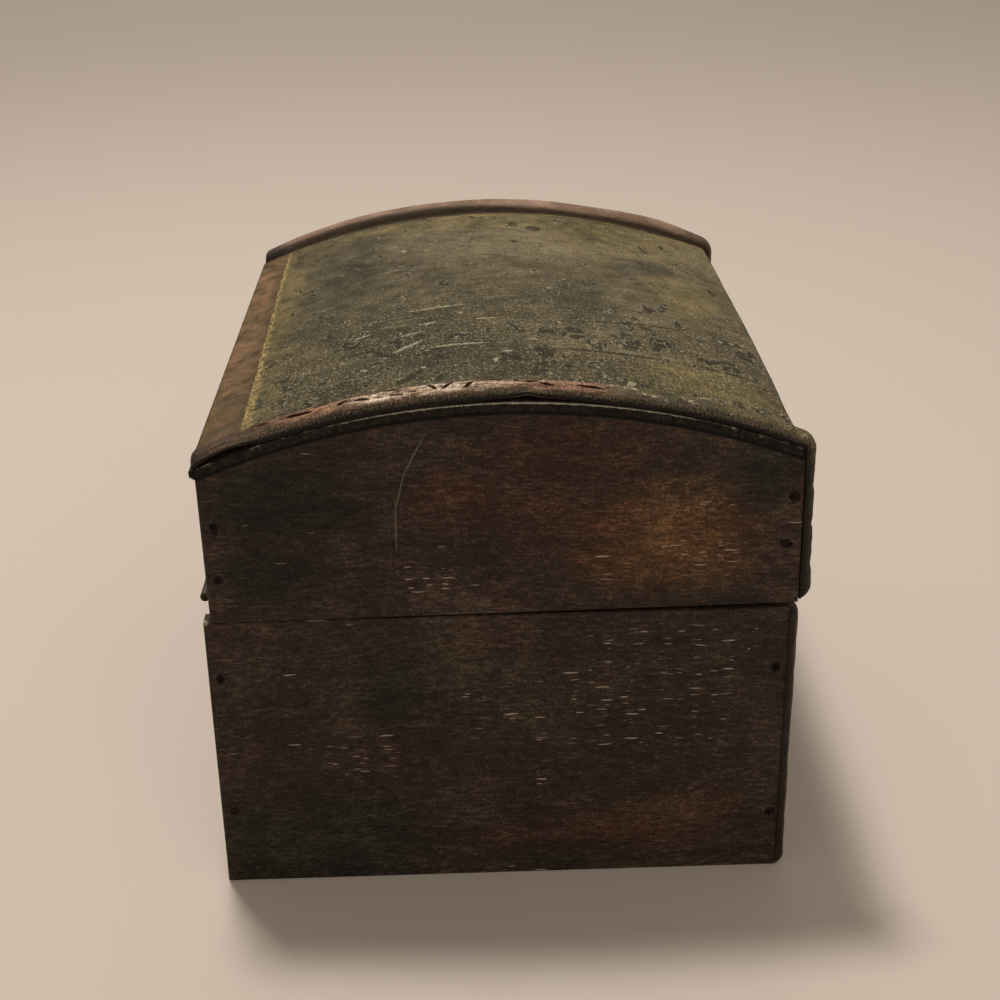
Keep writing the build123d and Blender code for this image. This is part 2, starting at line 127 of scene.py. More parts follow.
shape = bmesh.new()
bmesh.ops.create_circle(shape, cap_ends=True, radius=FLOOR_RADIUS, segments=64)
floor_mesh = bpy.data.meshes.new("floor")
shape.to_mesh(floor_mesh)
shape.free()
floor = new_object("floor", floor_mesh)
floor.location.z = -FLOOR_DROP
floor_finish = bpy.data.materials.new("pale_floor")
floor_finish.use_nodes = True
floor_shader = floor_finish.node_tree.nodes["Principled BSDF"]
floor_shader.inputs["Base Color"].default_value = colour(196, 180, 164)
floor_shader.inputs["Roughness"].default_value = 0.9
floor_mesh.materials.append(floor_finish)

# %% [markdown]
# ## A short hand for nodes
# Every finish below is a small network of nodes. Wiring each link by hand hides the idea, so
# each kind of step gets a short helper. Most helpers take plain numbers or another node's
# output and return an output. Two of them, cover and tint, change the finish's own colour.

# %% Helpers that add nodes


class Finish:
    """A material in the making: its node tree, its shader, and its colour so far in base."""

    def __init__(self, name, roughness=0.6, specular=0.35, metallic=0.0):
        self.material = bpy.data.materials.new(name)
        self.material.use_nodes = True
        self.tree = self.material.node_tree
        self.shader = self.tree.nodes["Principled BSDF"]
        self.shader.inputs["Roughness"].default_value = roughness
        self.shader.inputs["Specular IOR Level"].default_value = specular
        self.shader.inputs["Metallic"].default_value = metallic

    def add(self, kind, output=0, options=None, **sockets):
        """Add a node, set its options, and fill its sockets by name or by number."""
        node = self.tree.nodes.new(kind)
        for key, value in (options or {}).items():
            setattr(node, key, value)
        for key, value in sockets.items():
            socket = node.inputs[int(key[1:])] if key[0] == "s" and key[1:].isdigit() else node.inputs[key]
            if isinstance(value, bpy.types.NodeSocket):
                self.tree.links.new(value, socket)
            else:
                socket.default_value = value
        return node.outputs[output]

    def object_place(self):
        return self.add("ShaderNodeTexCoord", "Object")

    def leather_place(self):
        return self.add("ShaderNodeUVMap", options={"uv_map": "leather"})

    def stretched(self, place, scale, shift=(0, 0, 0)):
        return self.add("ShaderNodeMapping", Vector=place, Scale=scale, Location=shift)

    def cloudy(self, place, scale, detail=3.0, roughness=0.55, distortion=0.0):
        sockets = {"Scale": scale, "Detail": detail, "Roughness": roughness, "Distortion": distortion}
        return self.add("ShaderNodeTexNoise", "Fac", Vector=place, **sockets)

    def streaky(self, place, scale, *settings, shift=(0, 0, 0)):
        """Cloudy noise with its own scale along each axis, so that it can be drawn out."""
        return self.cloudy(self.stretched(place, scale, shift), 1.0, *settings)

    def calc(self, operation, a, b=0.0):
        return self.add("ShaderNodeMath", options={"operation": operation}, s0=a, s1=b)

    def chain(self, operation, values):
        result = values[0]
        for value in values[1:]:
            result = self.calc(operation, result, value)
        return result

    def times(self, *values):
        return self.chain("MULTIPLY", values)

    def plus(self, *values):
        return self.chain("ADD", values)

    def minus(self, a, b):
        return self.calc("SUBTRACT", a, b)

    def nudge(self, value, other, weight):
        """A value moved by a part of another one."""
        return self.plus(value, self.times(other, weight))

    def blend(self, *pairs):
        """A weighted sum: each value is followed by its weight."""
        return self.plus(*[self.times(*pair) for pair in zip(pairs[::2], pairs[1::2])])

    def largest(self, *values):
        return self.chain("MAXIMUM", values)

    def band(self, value, low, high, from_low=0.0, from_high=1.0):
        """Change a value smoothly from one level to another between two of its readings."""
        options = {"interpolation_type": "SMOOTHSTEP"}
        return self.add("ShaderNodeMapRange", 0, options, s0=value, s1=low, s2=high, s3=from_low, s4=from_high)

    def fall(self, value, low, high):
        """1 up to the first reading and 0 from the second."""
        return self.band(value, low, high, 1.0, 0.0)

    def window(self, value, low, full, still_full, high):
        """0 at both ends of a stretch and 1 in its middle."""
        return self.times(self.band(value, low, full), self.fall(value, still_full, high))

    def patch(self, place, centre, size, turn=0.0, turn_axis=0):
        """One soft oval spot, 1 at its centre and 0 at its rim."""
        spin = [0.0, 0.0, 0.0]
        spin[turn_axis] = math.radians(turn)
        sockets = {"Location": centre, "Rotation": spin, "Scale": size}
        local = self.add("ShaderNodeMapping", options={"vector_type": "TEXTURE"}, Vector=place, **sockets)
        return self.add("ShaderNodeTexGradient", "Fac", options={"gradient_type": "SPHERICAL"}, Vector=local)

    def patches(self, place, ovals):
        return self.largest(*[self.patch(place, *oval) for oval in ovals])

    def spots(self, place, ovals, ragged, low, high):
        """Oval places whose rims are broken up by noise."""
        return self.band(self.plus(self.patches(place, ovals), ragged), low, high)

    def mix(self, amount, base, cover, blend="MIX"):
        """Lay a colour over a base. Three numbers are a colour as it is seen on a screen."""
        base, cover = (colour(*c) if isinstance(c, tuple) and len(c) == 3 else c for c in (base, cover))
        options = {"data_type": "RGBA", "blend_type": blend}
        return self.add("ShaderNodeMix", 2, options, s0=amount, s6=base, s7=cover)

    def cover(self, shade, *amounts):
        """Lay a colour over the finish's own as far as all the amounts allow."""
        self.base = self.mix(self.times(*amounts), self.base, shade)

    def tint(self, amount, *factors):
        """Multiply the finish's colour by factors for red, green and blue, as far as the amount says."""
        self.base = self.mix(amount, self.base, (*factors, 1), "MULTIPLY")

    def ramp(self, value, *stops):
        """Colours for the readings of a value. Each stop is a reading, then red, green and blue."""
        node = self.tree.nodes.new("ShaderNodeValToRGB")
        elements = node.color_ramp.elements
        while len(elements) < len(stops):
            elements.new(0.5)
        for element, (position, *shade) in zip(elements, stops):
            element.position = position
            element.color = colour(*shade)
        self.tree.links.new(value, node.inputs[0])
        return node.outputs[0]

    def axis(self, place, index):
        return self.add("ShaderNodeSeparateXYZ", index, Vector=place)

    def wear(self, roughness, height):
        """Plug the finished colour, roughness and height in millimetres into the shader."""
        self.tree.links.new(self.base, self.shader.inputs["Base Color"])
        if roughness is not None:
            self.tree.links.new(roughness, self.shader.inputs["Roughness"])
        bump = self.add("ShaderNodeBump", Height=height, Strength=1, Distance=MM)
        self.tree.links.new(bump, self.shader.inputs["Normal"])
        return self.material


def give(finish, *names):
    """Put one finish on CAD nodes."""
    for name in names:
        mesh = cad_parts[name].data
        mesh.materials.clear()
        mesh.materials.append(finish)


# %% [markdown]
# ## Stained wood
# The end boards are a fine-grained wood with its grain from front to back, stained nearly
# black. Wear has uncovered warmer brown, there are greener and redder clouds, and short pale
# scratches lie along the grain in groups. Grain is noise squeezed across its length. The worn
# places are soft oval patches put where they are on the real boards, broken up with noise.

# %% The wood finish


def dashes(f, place, grain, long, high, shift, luck):
    """Thin dashes along the grain: one in each cell of a stretched net whose lot is above luck."""
    ripple = f.cloudy(place, 330, 2)
    along = f.plus(f.times(f.axis(place, grain), 1000 / long), shift)
    up = f.nudge(f.times(f.axis(place, 2), 1000 / high), ripple, 0.8)
    cell = f.add("ShaderNodeCombineXYZ", X=along, Y=up)
    distance = f.add("ShaderNodeTexVoronoi", "Distance", {"voronoi_dimensions": "2D"}, Vector=cell, Scale=1)
    lots = distance.node.outputs["Color"]
    size = f.band(f.axis(lots, 1), 0, 1, 0.12, 0.27)
    dash = f.fall(f.minus(distance, size), -0.1, 0.03)
    drawn = f.calc("GREATER_THAN", f.axis(lots, 0), luck)
    return f.times(dash, drawn, f.band(f.axis(lots, 2), 0, 1, 0.15, 1))


def wood_finish(name, grain, warmth=0.9, arc=None, **places):
    """Dark stained board, its grain along axis 0 or 1. The places are lists of ovals, by what lies there."""
    f = Finish(name, roughness=0.55, specular=0.12)
    place = f.object_place()

    def squeezed(slow, fast, *settings, shift=(0, 0, 0)):
        scale = tuple(slow if axis == grain else fast for axis in range(3))
        return f.streaky(place, scale, *settings, shift=shift)

    fibre = squeezed(430, 1700, 4, 0.7)
    streak = squeezed(70, 330, 4, 0.6, 0.3)
    cloud = f.cloudy(place, 46, 4, 0.62, 0.4)
    speckle = f.cloudy(place, 2300, 3, 0.8)
    tone = f.blend(fibre, 0.4, streak, 0.12, cloud, 0.18, speckle, 0.4)
    tone = f.band(tone, 0.405, 0.7)
    f.base = f.ramp(tone, (0, 31, 23, 18), (0.35, 47, 36, 28), (0.65, 63, 49, 39), (1, 96, 79, 63))
    redness = f.band(squeezed(26, 38, 3, shift=(3.1, 1.7, 0.4)), 0.46, 0.66)
    f.tint(f.times(redness, 0.25), 1.25, 0.98, 0.95)
    green = f.band(squeezed(28, 38, 3, shift=(0.3, 5.7, 2.4)), 0.46, 0.66)
    f.tint(f.times(green, 0.5), 0.78, 0.9, 0.82)
    ragged = f.times(squeezed(95, 240, 4, 0.68), 0.8)
    tints = {
        "warm": (1.15, warmth, 2.4, 1.93, 1.28),
        "red": (1.1, 0.8, 1.32, 1, 0.92),
        "dark": (1.1, 1, 0.62, 0.76, 0.76),
    }
    for kind, (full, amount, *factors) in tints.items():
        if kind in places:
            f.tint(f.times(f.spots(place, places[kind], ragged, 0.42, full), amount), *factors)
    crowd = f.patches(place, places["nicks"]) if "nicks" in places else 0
    luck = f.band(crowd, 0, 0.7, 0.99, 0.74)
    long_nicks = dashes(f, place, grain, 7, 0.8, 3.3, luck)
    nick = f.largest(long_nicks, dashes(f, place, grain, 4, 0.7, 8.1, f.plus(luck, 0.05)))
    f.cover((176, 152, 134), nick, 0.85)
    if "scratches" in places:
        line = f.band(f.patches(place, places["scratches"]), 0, 0.4)
        f.cover((118, 110, 92), line, 0.5)
    if "pale" in places:
        worn = f.times(f.spots(place, places["pale"], ragged, 0.55, 0.85), 0.85)
        f.cover(f.ramp(speckle, (0.35, 84, 72, 56), (0.65, 158, 142, 116)), worn)
    height = f.blend(fibre, 0.3, streak, 0.15, nick, -0.1, speckle, 0.16)
    if "rust" in places:
        hole = f.spots(place, places["rust"], f.times(f.cloudy(place, 1100, 3, 0.7), 0.9), 0.72, 0.9)
        f.cover(f.ramp(speckle, (0.45, 9, 6, 5), (0.7, 52, 28, 17)), hole, 0.95)
        height = f.nudge(height, hole, -0.5)
    if arc:
        seam = f.band(f.nudge(arc(f, place), speckle, 0.0006), -0.0004, 0)
        f.cover((7, 5, 4), seam, 0.96)
    return f.wear(f.band(f.blend(fibre, 0.5, speckle, 0.5), 0.35, 0.65, 0.46, 0.66), height)


def oval(y, z, long, high, turn=0, deep=20):
    """An oval on the near end's face, given in millimetres from the chest's origin."""
    return ((-81.5 * MM, y * MM, z * MM), (deep * MM, long * MM, high * MM), turn)


def ovals(*measures):
    return [oval(*measure) for measure in measures]


near_body_wood = wood_finish(
    "stained_wood_near_body_end",
    1,
    warmth=0.5,
    warm=ovals((-39, 16, 26, 8, -6)),
    red=ovals((-20, 9, 40, 7)),
    dark=ovals((42, 12, 44, 24), (24, 50, 13, 14), (-14, 5, 30, 6)),
    nicks=ovals(
        (-36, 58, 28, 14), (-24, 47, 20, 10), (-44, 50, 16, 12), (-12, 37.5, 9, 4.5), (-24, 35.4, 7, 2.5),
        (-42, 36, 14, 4), (-8, 23, 5, 5), (2, 45, 12, 10), (30, 33, 14, 7),
    ),
    rust=ovals((-62.7, 53.9, 1.5, 1.9), (-63.3, 15, 1.5, 1.5), (62.2, 54.9, 1.5, 1.9), (61.9, 19.5, 1.6, 1.6)),
    pale=ovals(
        (64.8, 69, 1.2, 1.3, 0, 3), (40, 69.3, 5, 0.9, 0, 1),
        (9, 69.4, 8, 0.7, 0, 1), (-22, 69.5, 30, 0.8, 0, 1),
    ),
)
FAR_END_NICKS = ((81.5 * MM, 0, 50 * MM), (20 * MM, 60 * MM, 50 * MM))
far_wood = wood_finish("stained_wood_far_end", 1, nicks=[FAR_END_NICKS])
long_wood = wood_finish("stained_wood_long_boards", 0)
give(near_body_wood, "body_end_left")
give(far_wood, "lid_end_right", "body_end_right")
give(long_wood, "body_front_board", "body_back_board", "body_bottom_board", "lid_front_board", "lid_back_board")

# %% [markdown]
# ## Iron, steel and brass
# The nail heads and tacks are rusted nearly black. The hinges are rolled steel sheet that has
# tarnished brown, and the hook with its pins is brass that has dulled. Metals get most of
# their look from an uneven roughness, so each has two noises, one for its colour and one for
# its polish.

# %% The metal finishes


def metal_finish(name, dark, light, spots, metallic, rough_low, rough_high, pits, specular=0.5):
    f = Finish(name, metallic=metallic, specular=specular)
    place = f.object_place()
    cloud = f.cloudy(place, 420, 4, 0.6, 0.5)
    grain = f.cloudy(place, 2600, 2)
    f.base = f.mix(f.band(cloud, 0.38, 0.66), dark, light)
    f.cover(spots, f.band(f.cloudy(place, 900, 3), 0.56, 0.68), 0.8)
    rough = f.band(f.blend(cloud, 0.7, grain, 0.3), 0.35, 0.65, rough_low, rough_high)
    return f.wear(rough, f.blend(cloud, pits, grain, pits * 0.4))


iron = metal_finish("rusty_iron", (8, 5, 4), (22, 13, 9), (64, 34, 20), 0, 0.8, 0.95, 0.3, specular=0.12)
steel = metal_finish("tarnished_steel", (64, 54, 42), (92, 78, 62), (58, 42, 28), 0.7, 0.42, 0.66, 0.06)
brass = metal_finish("aged_brass", (96, 72, 38), (158, 124, 66), (66, 54, 34), 0.9, 0.32, 0.58, 0.05)
give(iron, "body_nails", "bottom_nails", "lid_nails", "hinge_body_tacks", "hinge_lid_tacks")
for hinge_part in ("hinge_body_leaf", "hinge_lid_leaf", "hinge_pin"):
    give(steel, hinge_part + "_left", hinge_part + "_right")
give(brass, "clasp_hook", "clasp_pivot", "clasp_stud")

# %% [markdown]
# ## How the leather lies on the lid
# The bent board follows one arc, turns down a tight shoulder and drops straight to the hem.
# Everything on it is easier to make and to colour by three measures: how far along the
# leather a place is from the back edge, how far across from end to end, and how high above
# the board. The lid stands half a degree open, so each piece is built square and turned once.

# %% The lid's path
LID_LOW = 69.1 * MM
SIDE_HEIGHT = 34.3 * MM
RISE = 12.9 * MM
HALF_DEPTH = 65 * MM
BENT_BOARD = 2.2 * MM
SHOULDER = 2.1 * MM
LID_FRONT = -66.65 * MM
BACK_EDGE = 63.65 * MM
HEM = 70.0 * MM
ARCH = (HALF_DEPTH**2 + RISE**2) / (2 * RISE)
BOARD = ARCH + BENT_BOARD
CENTRE = Vector((0, LID_FRONT + HALF_DEPTH, LID_LOW + SIDE_HEIGHT + RISE - ARCH))
shoulder_y = LID_FRONT + SHOULDER
back_angle = math.asin((BACK_EDGE - CENTRE.y) / BOARD)
front_angle = math.asin((shoulder_y - CENTRE.y) / (BOARD - SHOULDER))
SHOULDER_CENTRE = Vector((0, shoulder_y, CENTRE.z + (BOARD - SHOULDER) * math.cos(front_angle)))
ARC_LENGTH = BOARD * (back_angle - front_angle)
TURN_LENGTH = SHOULDER * (math.pi / 2 + front_angle)
DROP_LENGTH = SHOULDER_CENTRE.z - HEM
LEATHER_LENGTH = ARC_LENGTH + TURN_LENGTH + DROP_LENGTH
SHOULDER_STEPS = 10
HINGE_LINE = Vector((0, 66.2 * MM, 69.05 * MM))
AJAR = Matrix.Rotation(-math.radians(0.55), 3, "X")


def on_lid(point):
    """Where a point of the square lid lies: along the leather, above the board, and which way is out."""
    if point.z < SHOULDER_CENTRE.z and point.y < shoulder_y:
        out = Vector((0, -1, 0))
        return ARC_LENGTH + TURN_LENGTH + SHOULDER_CENTRE.z - point.z, LID_FRONT - point.y, out
    away = Vector((0, point.y, point.z)) - CENTRE
    angle = math.atan2(away.y, away.z)
    if angle > front_angle:
        return BOARD * (back_angle - angle), away.length - BOARD, away.normalized()
    away = Vector((0, point.y, point.z)) - SHOULDER_CENTRE
    angle = math.atan2(away.y, away.z)
    return ARC_LENGTH + SHOULDER * (front_angle - angle), away.length - SHOULDER, away.normalized()


def edges_in(items):
    return [item for item in items if isinstance(item, bmesh.types.BMEdge)]


def pull_down(shape, line, distance, step):
    """Carry a line of vertices and edges straight down in even steps."""
    steps = round(distance / step)
    last = line
    for _ in range(steps):
        last = bmesh.ops.extrude_edge_only(shape, edges=edges_in(last))["geom"]
        moved = [item for item in last if isinstance(item, bmesh.types.BMVert)]
        bmesh.ops.translate(shape, verts=moved, vec=(0, 0, -distance / steps))
    return last


def sweep_over_lid(shape, line, step):
    """Carry a line of vertices and edges at the back edge over the arc, round the shoulder and down."""
    turns = (
        (CENTRE, back_angle - front_angle, round(ARC_LENGTH / step)),
        (SHOULDER_CENTRE, math.pi / 2 + front_angle, SHOULDER_STEPS),
    )
    for centre, angle, steps in turns:
        turned = {"cent": centre, "axis": (1, 0, 0), "angle": angle, "steps": steps, "use_merge": False}
        line = bmesh.ops.spin(shape, geom=line, **turned)["geom_last"]
    return pull_down(shape, line, DROP_LENGTH, step)


def row_of_vertices(shape, ends, cuts):
    """A straight line of vertices and edges between two points."""
    line = shape.edges.new([shape.verts.new(end) for end in ends])
    bmesh.ops.subdivide_edges(shape, edges=[line], cuts=cuts)
    return shape.verts[:] + shape.edges[:]


def back_edge_at(above):
    """Where the leather starts at the back edge, at a height above the board."""
    start = CENTRE + Vector((0, math.sin(back_angle), math.cos(back_angle))) * (BOARD + above)
    return start.y, start.z


def stand_ajar(shape):
    bmesh.ops.rotate(shape, verts=shape.verts, cent=HINGE_LINE, matrix=AJAR)


def finish_piece(name, shape, body, finish, replaced):
    """Close a bmesh into an object that rides on a body and stands for CAD nodes."""
    mesh = bpy.data.meshes.new(name)
    shape.to_mesh(mesh)
    shape.free()
    for polygon in mesh.polygons:
        polygon.use_smooth = True
    mesh.materials.append(finish)
    piece = new_object(name, mesh)
    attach(piece, body)
    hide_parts(*replaced)


def put_leather_map(shape, place_of):
    """Store across and along, in metres, as the leather map that the finishes read."""
    layer = shape.loops.layers.uv.new("leather")
    for face in shape.faces:
        for loop in face.loops:
            loop[layer].uv = place_of[loop.vert]


def clamp(value):
    return max(0.0, min(1.0, value))


def hump(value, centre, width):
    """A smooth rise around one place, 1 at its middle and nothing beyond its width."""
    distance = min(1.0, abs(value - centre) / width)
    return (1 - distance * distance) ** 2


def swell_at(x, along):
    """How far the lid's leather stands out or sinks in, in millimetres."""
    swell = 0.16 * noise.fractal(Vector((x * 55, along * 75, 0.3)), 1.0, 2.0, 3)
    to_end = min(1.0, (LEATHER_LENGTH - along) / (4 * MM), along / (2 * MM))
    near_droop = hump(x / MM, -75, 58) * hump(along / MM, 133, 10)
    far_droop = hump(x / MM, 78, 50) * hump(along / MM, 116, 24)
    return swell * to_end - 0.12 - 0.72 * near_droop - 0.45 * far_droop


# %% [markdown]
# ## Wood that follows the arch
# The arched end boards have a dark joint under the bent board, and the bent board's own end
# shows as a narrow band with a pale, rubbed upper edge. Both follow the arch, so these
# finishes measure how far a place is from the middle of the arch and compare it with a radius.

# %% Finish the lid's boards
arch_middle = HINGE_LINE + AJAR @ (CENTRE - HINGE_LINE)


def above_arch(f, place, radius):
    """How far a place is above a radius of the arch, in metres."""
    y = f.plus(f.axis(place, 1), -arch_middle.y)
    z = f.plus(f.axis(place, 2), -arch_middle.z)
    reach = f.calc("SQRT", f.plus(f.times(y, y), f.times(z, z)))
    return f.plus(reach, -radius)


near_lid_wood = wood_finish(
    "stained_wood_near_lid_end",
    1,
    warmth=1.0,
    arc=lambda f, place: above_arch(f, place, ARCH),
    warm=ovals((-40, 87, 26, 18), (-33, 81, 20, 9), (-43, 87, 17, 12)),
    red=ovals((-18, 106, 26, 12), (-14, 92, 22, 12), (8, 97, 20, 10)),
    dark=ovals((46, 97, 28, 15), (50, 80, 20, 12), (-58, 102, 10, 14)),
    nicks=ovals((14, 77.5, 13, 7), (-24, 78.8, 9, 4.5), (-44, 95.7, 10, 3.5), (-45, 84.2, 15, 6)),
    rust=ovals(
        (-64.6, 95.9, 1.8, 2), (-63.1, 84.8, 1.9, 1.6, 30), (60.5, 92, 1.3, 2.2), (60.6, 79.6, 1.5, 1.5)
    ),
    scratches=ovals((17.2, 107.6, 0.22, 6, 28), (20.3, 99.8, 0.2, 6, 14), (21.5, 91.6, 0.25, 7.5, 1)),
)
give(near_lid_wood, "lid_end_left")


def bent_board_finish():
    """Its rim is rubbed pale, most where the lid is highest, with a few chips further back."""
    f = Finish("stained_wood_bent_board", roughness=0.6, specular=0.12)
    place = f.object_place()
    above = above_arch(f, place, BOARD)
    grain = f.streaky(place, (60, 700, 700), 4, 0.6)
    chips = f.cloudy(place, 420, 4, 0.7)
    fine = f.cloudy(place, 2300, 3, 0.75)
    tone = f.blend(grain, 0.5, fine, 0.5)
    inside = f.ramp(tone, (0.36, 38, 29, 22), (0.5, 60, 46, 36), (0.64, 88, 70, 55))
    on_end = f.band(f.calc("ABSOLUTE", f.axis(place, 0)), 0.0805, 0.0812)
    f.base = f.mix(on_end, inside, f.ramp(tone, (0.36, 12, 9, 6), (0.5, 29, 23, 16), (0.64, 60, 50, 38)))
    back_to_front = f.axis(place, 1)
    middle = f.times(f.band(back_to_front, 0.038, 0.018), f.band(back_to_front, -0.05, -0.028))
    rub = f.blend(middle, 0.75, f.band(chips, 0.46, 0.58), 0.22)
    edge = f.plus(above, f.times(chips, 0.0007), -0.0003)
    line = f.times(f.band(edge, -0.0003, -0.00016), rub, on_end)
    f.cover(f.ramp(fine, (0.35, 128, 116, 98), (0.65, 206, 194, 172)), line)
    chipped = f.times(f.band(chips, 0.6, 0.63), f.band(above, -0.0009, -0.0003), on_end)
    f.cover((142, 126, 102), chipped, 0.6)
    under = f.fall(f.nudge(above, chips, 0.0009), -0.00165, -0.00135)
    f.cover((7, 5, 4), under, 0.96, on_end)
    return f.wear(None, f.blend(grain, 0.25, chips, 0.9, fine, 0.25))


give(bent_board_finish(), "lid_top_board")

# %% [markdown]
# ## The tooled green leather
# The field is embossed with small curls, broken lines that follow the arch, and a fine
# stipple. It is rubbed pale in streaks and marks, its hollows are dark, and a painted highlight
# runs round the rim of each hollow. Embossing this small is height in the finish. Curls come
# from the level lines of a swirled noise, and the broken lines from noise that is stretched
# along the arch. The colour goes from grey-green to yellow-olive in broad clouds.

# %% The tooled leather finish


def spot(across, along, wide, long, turn=0):
    """An oval on the leather map, given in millimetres, turned about the leather's normal."""
    return ((across * MM, along * MM, 0), (wide * MM, long * MM, 1), turn, 2)


def marks(*measures):
    return [spot(*measure) for measure in measures]


def tooled_height_and_marks(f, place, pale_marks, dark_marks):
    """Relief in millimetres, and how dark, how pale and how worn each place is. The pale holds a painted
    highlight round the hollows.
    """
    across = f.axis(place, 0)
    grain = f.streaky(place, (1000, 2000, 1), 3, 0.85)
    crumbs = f.cloudy(place, 900, 3, 0.7)
    nearness = f.fall(across, -0.045, 0.02)
    zone = f.band(f.streaky(place, (60, 42, 1), 2, shift=(1, 8, 0)), 0.42, 0.56)
    worn = f.times(zone, f.plus(f.times(nearness, 0.85), 0.15))
    islands = f.streaky(place, (150, 230, 1), 4, 0.68, 0.8, shift=(4, 2, 0))
    level = f.nudge(islands, worn, 0.09)
    hollow = f.band(level, 0.635, 0.655)
    # Painted highlight: a pale rim round each hollow, where light would catch its edge.
    lip = f.times(f.window(level, 0.6, 0.625, 0.635, 0.65), f.band(crumbs, 0.38, 0.5))
    flow = f.streaky(place, (240, 19, 1), 1.5, 0.45, 0.25, shift=(7, 3, 0))
    furrow = f.fall(f.calc("ABSOLUTE", f.plus(flow, -0.5)), 0.004, 0.016)
    furrow = f.times(furrow, f.plus(f.times(zone, 0.35), 0.05))
    streak = f.streaky(place, (520, 55, 1), 2, 0.5, 0.2, shift=(5, 4, 0))
    rubbed = f.times(f.band(streak, 0.6, 0.68), f.band(f.cloudy(place, 75, 2), 0.44, 0.56), 0.35)
    ragged = f.times(crumbs, 0.8)
    if pale_marks:
        rubbed = f.largest(rubbed, f.spots(place, pale_marks, ragged, 0.52, 0.88))
    if dark_marks:
        hollow = f.largest(hollow, f.spots(place, dark_marks, ragged, 0.62, 0.85))
    dark = f.largest(hollow, furrow)
    # The pale is rubbed wear together with the painted highlight round the hollows.
    pale = f.largest(f.times(lip, 0.9), rubbed)
    height = f.blend(dark, -0.25, pale, 0.16, grain, 0.5, crumbs, 0.4)
    return height, dark, pale, grain, crumbs, nearness


